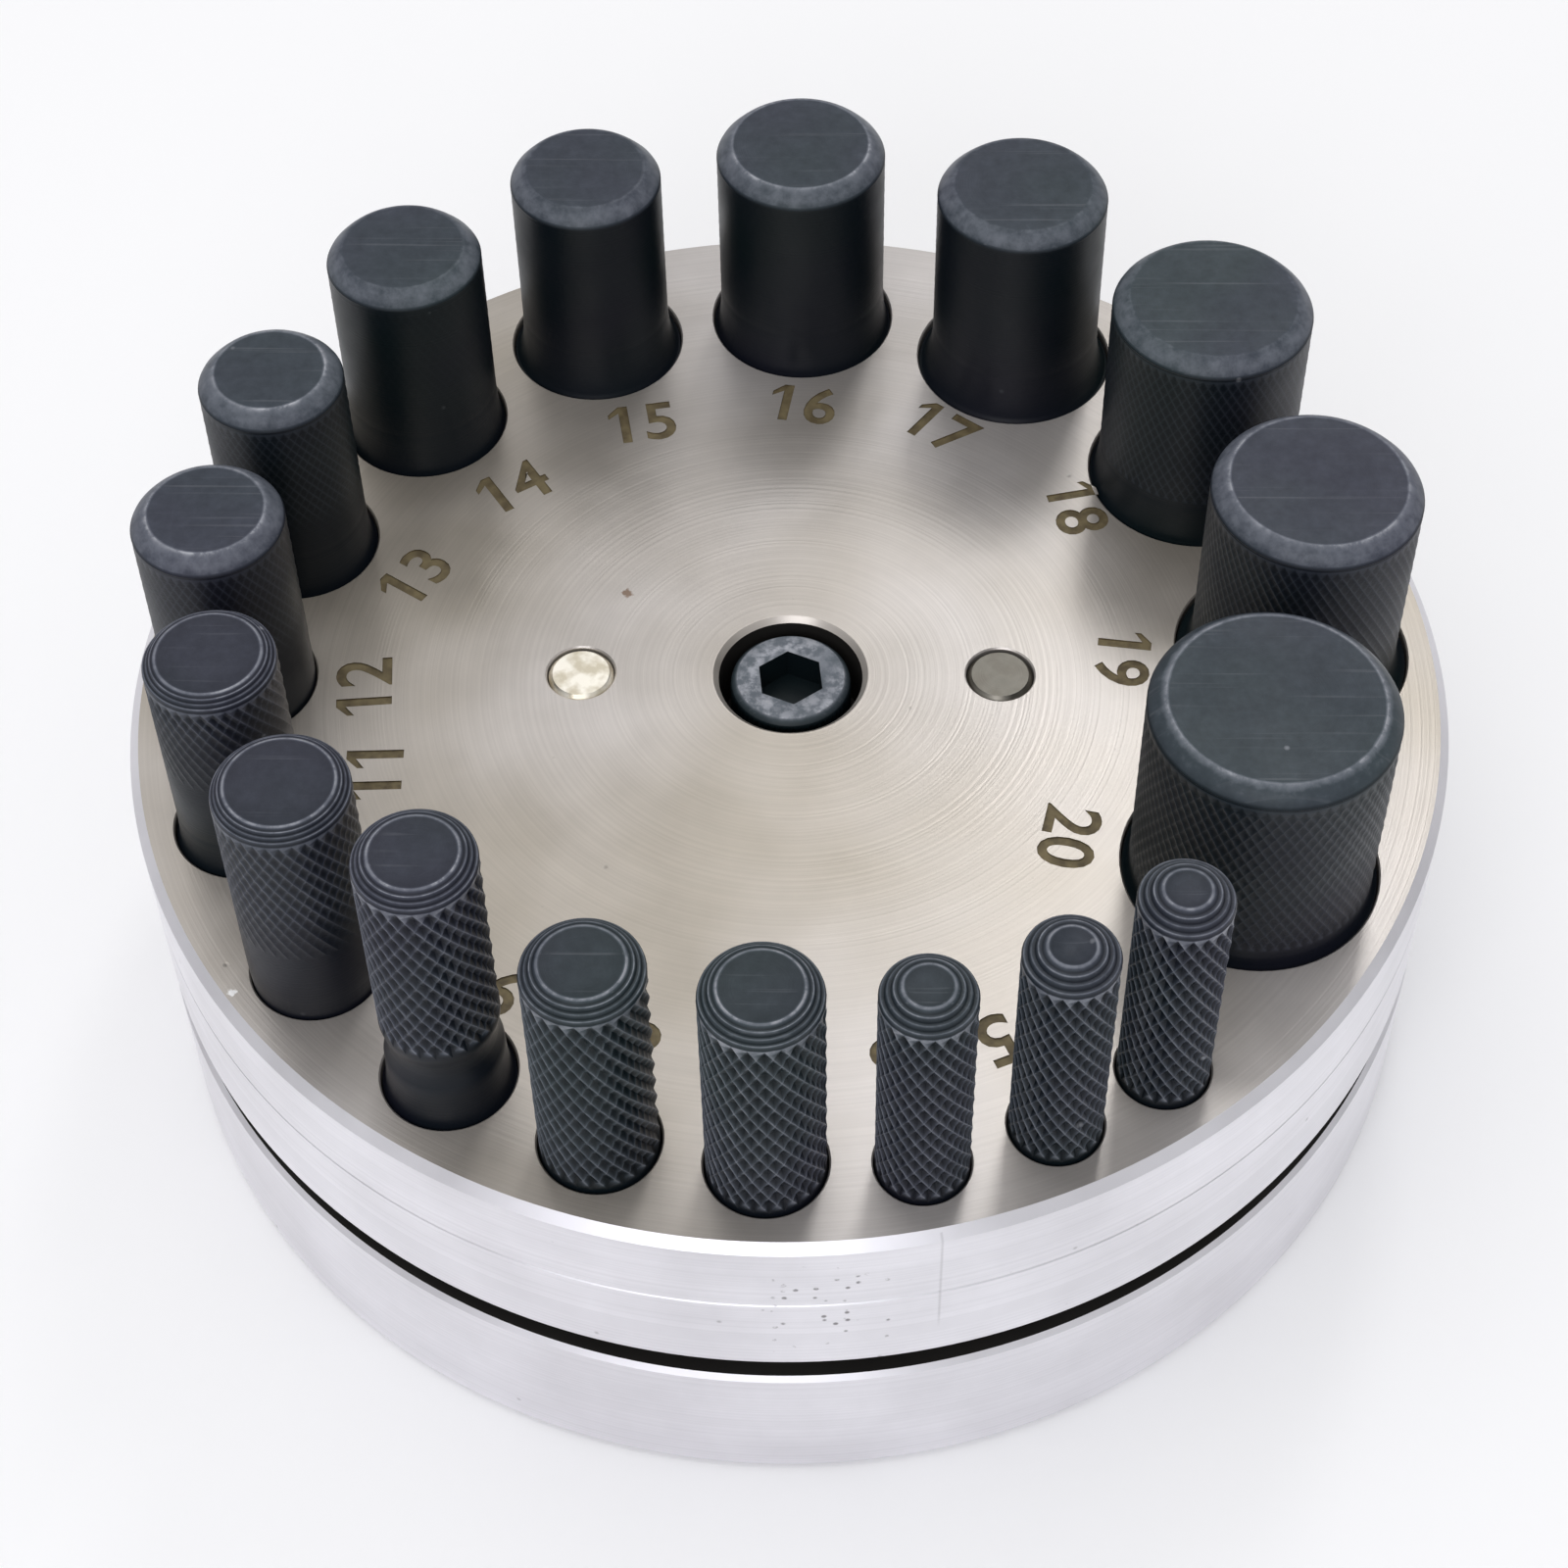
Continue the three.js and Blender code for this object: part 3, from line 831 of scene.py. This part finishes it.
def make_screw(black):
    """Socket-head cap screw: knurled head, hexagonal socket, plain shank, ridges for a thread."""
    bm = new_mesh()
    top = screw_high.z
    under_head = top - SCREW_HEAD_HEIGHT
    thread_top = die_high.z - 0.8
    thread_bottom = screw_low.z + 0.6
    root = SCREW_THREAD_RADIUS - 0.55
    bore = SOCKET_ACROSS_FLATS / 2
    mouth = top - 0.02
    spin_outline(bm, [
        (0, screw_low.z, 0), (root, screw_low.z, 0.3), (root + 0.2, thread_bottom, 0.3),
    ], 48)
    ridges = int((thread_top - thread_bottom) / SCREW_PITCH)
    thread_end = thread_bottom + ridges * SCREW_PITCH
    flanks = []
    for ridge in range(ridges):
        height = thread_bottom + ridge * SCREW_PITCH
        flanks += [(root, height, 0), (SCREW_THREAD_RADIUS, height + SCREW_PITCH / 2, 0.7)]
    flanks.append((root, thread_end, 0))
    spin_outline(bm, flanks, 48)
    bmesh.ops.bridge_loops(bm, edges=open_ring(bm, thread_bottom))
    spin_outline(bm, [
        (SCREW_THREAD_RADIUS, thread_end + 0.4, 0.2), (SCREW_THREAD_RADIUS, under_head, 0),
        (SCREW_HEAD_RADIUS - 0.2, under_head, 0.4), (SCREW_HEAD_RADIUS - 0.05, under_head + 0.2, 0.4),
    ], 48)
    bmesh.ops.bridge_loops(bm, edges=open_ring(bm, thread_end) + open_ring(bm, thread_end + 0.4))
    # Straight knurl on the head: every other point of the ring is drawn in.
    head_bottom = under_head + 0.5
    head_top = top - 0.9
    corners = SCREW_HEAD_FLUTES * 2
    loop = ring(bm, SCREW_HEAD_RADIUS, head_bottom, (0, 0), corners)
    carry(bm, loop, (0, 0), SCREW_HEAD_RADIUS, [(SCREW_HEAD_RADIUS, head_top)])
    for v in bm.verts:
        on_side = head_bottom - 1e-4 < v.co.z < head_top + 1e-4
        corner = round(math.atan2(v.co.y, v.co.x) / math.tau * corners)
        if on_side and v.co.xy.length > SCREW_HEAD_RADIUS - 0.01 and corner % 2:
            v.co.xy *= 0.97
    bmesh.ops.bridge_loops(
        bm, edges=open_ring(bm, under_head + 0.2) + open_ring(bm, head_bottom),
    )
    # The head's chamfer, top face and socket mouth get high values: painted highlights on the head.
    spin_outline(bm, [
        (SCREW_HEAD_RADIUS - 0.04, top - 0.75, 0.3), (SCREW_HEAD_RADIUS - 0.1, top - 0.5, 0.6),
        (SCREW_HEAD_RADIUS - 0.55, top - 0.04, 1.0), (SCREW_HEAD_RADIUS - 0.7, top, 0.985),
        (bore * 1.5, top, 0.98), (bore * 1.3, mouth, 1.0),
    ], 96)
    bmesh.ops.bridge_loops(bm, edges=open_ring(bm, head_top) + open_ring(bm, top - 0.75))
    reach = SOCKET_ACROSS_FLATS / math.sqrt(3)
    turn = Matrix.Rotation(math.radians(SOCKET_TURN), 4, "Z")
    made = bmesh.ops.create_circle(
        bm, cap_ends=False, radius=reach, segments=6,
        matrix=turn @ Matrix.Translation((0, 0, top - 0.12)),
    )
    # The socket's rim gets a high value: a painted highlight.
    wear_and_light = bm.verts.layers.float["wear_and_light"]
    for v in made["verts"]:
        v[wear_and_light] = 0.97
    hexagon = list({e for v in made["verts"] for e in v.link_edges})
    bmesh.ops.bridge_loops(bm, edges=hexagon + [
        e for e in open_ring(bm, mouth) if e.verts[0].co.xy.length < SCREW_HEAD_RADIUS - 1
    ])
    edge = carry(bm, hexagon, (0, 0), reach, [(reach, top - 0.2)])
    floor = carry(bm, edge, (0, 0), reach, [(reach, top - SOCKET_DEPTH)])
    # The socket's walls and floor get the lowest value: painted shade inside the socket.
    for v in {v for e in edge + floor for v in e.verts}:
        v[wear_and_light] = 0
    bmesh.ops.triangle_fill(bm, use_beauty=True, edges=floor, normal=(0, 0, 1))
    store_places(bm, (0, 0), top)
    return finish_piece(
        bm, "clamp_screw_blackened", [black], "clamp_screw_body", "clamp_screw",
    )


def make_dowel(node, steel):
    bm = new_mesh()
    low, high = node_box(node)
    centre = axis_of(node)
    radius = dowel_radius(node)
    spin_outline(bm, [
        (0, low.z, 0), (radius - DOWEL_CHAMFER, low.z, 0), (radius, low.z + DOWEL_CHAMFER, 0),
        (radius, high.z - DOWEL_CHAMFER, 0), (radius - DOWEL_CHAMFER, high.z, 0), (0, high.z, 0),
    ])
    bmesh.ops.translate(bm, vec=(centre.x, centre.y, 0), verts=bm.verts)
    store_places(bm, centre, high.z)
    return finish_piece(
        bm, f"{node}_ground", [steel], "die_base", node,
    )


# ---- Punches ----


def knurled_band(bm, radius, bottom, top, knurl, fade):
    """A band of diamond knurl between two heights: a spun grid whose cells are turned into
    diamonds, each with a pit. The left-hand ridges lie lower than the right-hand ones.
    The ridges carry rubbing with a painted highlight, and the pits painted shade."""
    wear_and_light = bm.verts.layers.float["wear_and_light"]
    diamonds_round, depth, sink, _, wear_and_light_level = knurl

    def shape(point, below, given_wear_and_light):
        share = min(1, 0.05 + (point.co.z - bottom) / fade)
        point.co.xy = point.co.xy.normalized() * (radius - below * share)
        point[wear_and_light] = given_wear_and_light * share

    cell = math.tau * radius / diamonds_round * KNURL_CELL_SLOPE
    rows = max(2, round((top - bottom) / cell))
    before = set(bm.verts)
    outline = [(radius, bottom + (top - bottom) * i / rows, wear_and_light_level) for i in range(rows + 1)]
    spin_outline(bm, outline, diamonds_round)
    band = [v for v in bm.verts if v not in before]
    faces = list({f for v in band for f in v.link_faces})
    grid = [e for e in {e for f in faces for e in f.edges} if not e.is_boundary]
    centres = bmesh.ops.poke(bm, faces=faces)["verts"]
    for v in {*band, *centres}:
        shape(v, 0, wear_and_light_level)
    bmesh.ops.dissolve_edges(bm, edges=grid, use_verts=False)
    band = [v for v in bm.verts if v not in before]
    ridges = [e for e in {e for v in band for e in v.link_edges} if not e.is_boundary]
    for right_handed in (True, False):
        chosen = [e for e in ridges if climbs_right(e) == right_handed]
        made = bmesh.ops.bisect_edges(bm, edges=chosen, cuts=1)["geom_split"]
        for v in made:
            if isinstance(v, bmesh.types.BMVert):
                shape(v, 0.02 if right_handed else sink, wear_and_light_level * (1 if right_handed else 0.8))
    band = [v for v in bm.verts if v not in before]
    pits = list({f for v in band for f in v.link_faces if len(f.verts) == 8})
    # The pit centres get the lowest value: painted shade at the bottom of each pit.
    for v in bmesh.ops.poke(bm, faces=pits)["verts"]:
        shape(v, depth, 0)


def climbs_right(edge):
    low, high = sorted((v.co for v in edge.verts), key=lambda point: point.z)
    return low.xy.cross(high.xy) < 0


def stepped_top(radius, top, chamfer, dish):
    """Outline of a small punch's top: uneven turned ridges climb to a small dished flat. The ridges
    and the flat's edge carry a painted highlight, and the flat is painted lighter than the sides.
    """
    height, inset = chamfer
    outline = [(radius - 0.02, top - height - 0.1, 0.5)]
    for inward, up, crest_wear_and_highlight in ((0.06, 0.12, 0.97), (0.34, 0.42, 0.92), (0.62, 0.72, 1.0)):
        edge, level = radius - inset * inward, top - height * (1 - up)
        outline += [(edge, level, 0.8), (edge - 0.07, level + 0.06, crest_wear_and_highlight)]
        outline.append((edge - inset * 0.2, level + 0.07, 0.55))
    flat = radius - inset
    outline += [(flat, top - 0.05, 0.97), (flat - 0.12, top, 1.0), (flat - 0.3, top - 0.03, 0.7)]
    outline += [(flat * 0.55, top - 0.03 - dish * 0.7, 0.75), (0, top - 0.03 - dish, 0.75)]
    return outline


def rounded_top(radius, top, chamfer, lip, chamfer_wear_and_highlight):
    """Outline of a large punch's top: a broad soft chamfer, then a rubbed lip round the flat. The
    chamfer and lip carry a painted highlight, and the flat is painted lighter than the sides.
    """
    height, inset = chamfer
    outline = []
    for inward, down, wear_and_light_level in (
        (0, 1, 0.5), (0.1, 0.8, chamfer_wear_and_highlight - 0.04), (0.34, 0.52, chamfer_wear_and_highlight),
        (0.6, 0.25, chamfer_wear_and_highlight), (0.84, 0.07, (lip + 0.9) / 2), (1, 0.0, lip), (1.15, 0.0, 0.82),
    ):
        outline.append((radius - inset * inward, top - height * down, wear_and_light_level))
    outline += [(radius * 0.5, top, 0.8), (0, top, 0.8)]
    return outline


def flare(shank, grip, start, height):
    """Outline of the hollow curve between the shank and a thinner or thicker grip."""
    outline = []
    for i in range(10):
        angle = math.radians(10 * i)
        outline.append((
            grip + (shank - grip) * (1 - math.sin(angle)),
            start + height * (1 - math.cos(angle)), 0.25 - 0.02 * i,
        ))
    return outline


def waist(grip, low, high):
    """Outline of the hollow neck, with two fine grooves, of the punch that stands highest."""
    outline = []
    for i in range(1, 12):
        share = i / 12
        hollow = math.sin(math.pi * share) * WAIST_DEPTH
        groove = WAIST_GROOVE if i in (2, 4) else 0
        outline.append((grip - hollow - groove, low + (high - low) * share, 0.25))
    return outline


def make_punch(size, black):
    bm = new_mesh()
    node = punch_node(size)
    low, high = node_box(node)
    centre = axis_of(node)
    lift = low.z - node_box(punch_node(SIZES[0]))[0].z
    cut, shank, grip = size / 2, shank_radius(size), GRIP_DIAMETERS[size] / 2
    _, depth, _, plain, _ = KNURLS[size]
    outline = [(0, low.z, 0.4), (cut - 0.08, low.z, 0.6), (cut, low.z + 0.08, 0.6)]
    if shank > cut:
        step = SHOULDER + lift
        outline += [
            (cut, step, 0.1), (shank - 0.2, step, 0.2), (shank, step + 0.2, 0.3),
        ]
    flare_start = BLOCK_TOP - FLARE_STARTS_SUNK
    knurl_bottom = BLOCK_TOP + plain
    outline.append((shank, flare_start - 0.1, 0.2))
    if shank > grip + 0.1:
        flare_height = min(FLARE_HEIGHT, knurl_bottom - 0.4 - flare_start)
        outline += flare(shank, grip, flare_start, flare_height)
    if size == STUCK_PUNCH:
        outline += waist(grip, flare_start + FLARE_HEIGHT, knurl_bottom - 0.4)
    knurl_top = high.z - TOP_CHAMFERS.get(size, LARGE_TOP_CHAMFER)[0] - 0.25
    outline.append((grip - 0.02, knurl_bottom - 0.3, 0.1))
    spin_outline(bm, outline)
    fade = KNURL_FADES.get(size, KNURL_FADE)
    knurled_band(bm, grip, knurl_bottom, knurl_top, KNURLS[size], fade)
    chamfer = TOP_CHAMFERS.get(size, LARGE_TOP_CHAMFER)
    neck = [(grip - depth / 3, knurl_top + 0.15, 0.4)]
    if size in TOP_CHAMFERS:
        crown = stepped_top(grip, high.z, chamfer, TOP_DISHES.get(size, 0.03))
    else:
        lip = 1.0 if size in SHARP_LIPS else 0.88
        crown = rounded_top(grip, high.z, chamfer, lip, CHAMFER_WEAR_AND_HIGHLIGHT.get(size, 0.92))
    spin_outline(bm, neck + crown)
    bmesh.ops.bridge_loops(bm, edges=open_ring(bm, knurl_bottom - 0.3) + open_ring(bm, knurl_bottom))
    bmesh.ops.bridge_loops(bm, edges=open_ring(bm, knurl_top) + open_ring(bm, knurl_top + 0.15))
    bmesh.ops.rotate(
        bm, cent=(0, 0, 0), matrix=Matrix.Rotation(math.radians(size * 37), 3, "Z"), verts=bm.verts,
    )
    bmesh.ops.translate(bm, vec=(centre.x, centre.y, 0), verts=bm.verts)
    store_places(bm, centre, high.z)
    return finish_piece(
        bm, f"{node}_knurled", [black], f"{node}_body", node, 24,
    )


# ---- Studio ----

CAMERA_LENS = 71.69
CAMERA_ELEVATION = 48.734
CAMERA_ROLL = 0.191
CAMERA_DISTANCE = 257.7
CAMERA_RIGHT = 4.31
CAMERA_UP = 3.82
CAMERA_SHIFT = (-0.0375, -0.1)
LIGHT_AIM = (0, 0, 0.03)


def place_camera():
    data = bpy.data.cameras.new("camera")
    data.lens = CAMERA_LENS
    data.shift_x, data.shift_y = CAMERA_SHIFT
    data.clip_start = 0.01
    camera = bpy.data.objects.new("camera", data)
    tip = Matrix.Rotation(math.radians(90 - CAMERA_ELEVATION), 4, "X")
    turn = tip @ Matrix.Rotation(math.radians(CAMERA_ROLL), 4, "Z")
    offset = Vector((CAMERA_RIGHT, CAMERA_UP, CAMERA_DISTANCE)) * MM
    camera.matrix_world = (
        Matrix.Translation((0, 0, BLOCK_TOP * MM)) @ turn @ Matrix.Translation(offset)
    )
    bpy.context.scene.collection.objects.link(camera)
    bpy.context.scene.camera = camera


def soft_light(name, place, size, power, colour=(1, 1, 1)):
    """A large square of light that looks at the middle of the block."""
    data = bpy.data.lights.new(name, "AREA")
    data.shape = "RECTANGLE"
    data.size, data.size_y = size
    data.energy = power
    data.color = colour
    light = bpy.data.objects.new(name, data)
    light.location = place
    light.rotation_euler = (Vector(LIGHT_AIM) - Vector(place)).to_track_quat("-Z", "Y").to_euler()
    bpy.context.scene.collection.objects.link(light)


def make_studio():
    floor_mesh = bpy.data.meshes.new("studio_floor")
    bm = bmesh.new()
    bmesh.ops.create_grid(bm, x_segments=1, y_segments=1, size=3.0)
    bm.to_mesh(floor_mesh)
    bm.free()
    floor = bpy.data.objects.new("studio_floor", floor_mesh)
    floor_mesh.materials.append(studio_floor("pale_paper"))
    bpy.context.scene.collection.objects.link(floor)
    world = bpy.data.worlds.new("studio_air")
    bpy.context.scene.world = world
    world.use_nodes = True
    tree = world.node_tree
    direction = add_node(tree, "ShaderNodeTexCoord").outputs["Generated"]
    up = add_node(tree, "ShaderNodeSeparateXYZ", {0: direction}).outputs["Z"]
    shade = ramp(tree, up, 0.0, 0.8, 0.28, 0.86)
    tree.links.new(shade, tree.nodes["Background"].inputs["Strength"])
    tree.nodes["Background"].inputs["Color"].default_value = (0.98, 0.98, 1.0, 1)
    soft_light("overhead_softbox", (-0.15, 0.05, 0.75), (0.5, 0.5), 0.9, (1.0, 0.985, 0.96))
    soft_light("back_strip", (0.12, 0.42, 0.62), (0.10, 0.25), 0.4)
    soft_light("front_softbox", (-0.12, -0.62, 0.50), (0.5, 0.3), 1.5, (0.94, 0.95, 1.0))
    bpy.context.scene.view_settings.view_transform = "Standard"


# ---- Assembly ----

turning = turning_marks_group()
specks = specks_group()
groups = (turning, specks, placed_mark_group(), scribed_line_group())
steel = turned_steel(
    "turned_steel", groups, ((0.455, 0.412, 0.352, 1), (0.59, 0.557, 0.535, 1)), 0.006, 0.45,
)
# The rim and its chamfer get a lighter, cooler copy of the turned steel: painted light on the sides
# and a painted highlight on the chamfer.
lit_rim_steel = turned_steel(
    "lit_turned_rim_steel", groups, ((0.74, 0.725, 0.76, 1), (0.81, 0.80, 0.835, 1)), 0.012, 0.15,
)
# Near-black steel that stands for shade: painted shade in slots, seams and counterbore.
shade_steel = oily_steel("oily_steel")
paint = engraved_paint("etched_number")
# The left pin gets a lighter copy and the right pin a darker copy of the same pin steel.
left_pin_steel = ground_pin_steel(
    "lighter_pin_steel", turning, (0.66, 0.60, 0.47, 1), (0.95, 0.91, 0.81, 1),
)
right_pin_steel = ground_pin_steel(
    "darker_pin_steel", turning, (0.15, 0.14, 0.12, 1), (0.20, 0.19, 0.165, 1),
)
black = black_oxide("black_oxide", turning, specks)

place_camera()
make_studio()
make_guide_plate(steel, lit_rim_steel, shade_steel, paint)
make_stripper_plate(steel, lit_rim_steel, shade_steel)
make_spacer(shade_steel)
make_die_plate(steel, lit_rim_steel, shade_steel)
make_screw(black)
make_dowel("dowel_pin_left", left_pin_steel)
make_dowel("dowel_pin_right", right_pin_steel)
for size in SIZES:
    make_punch(size, black)
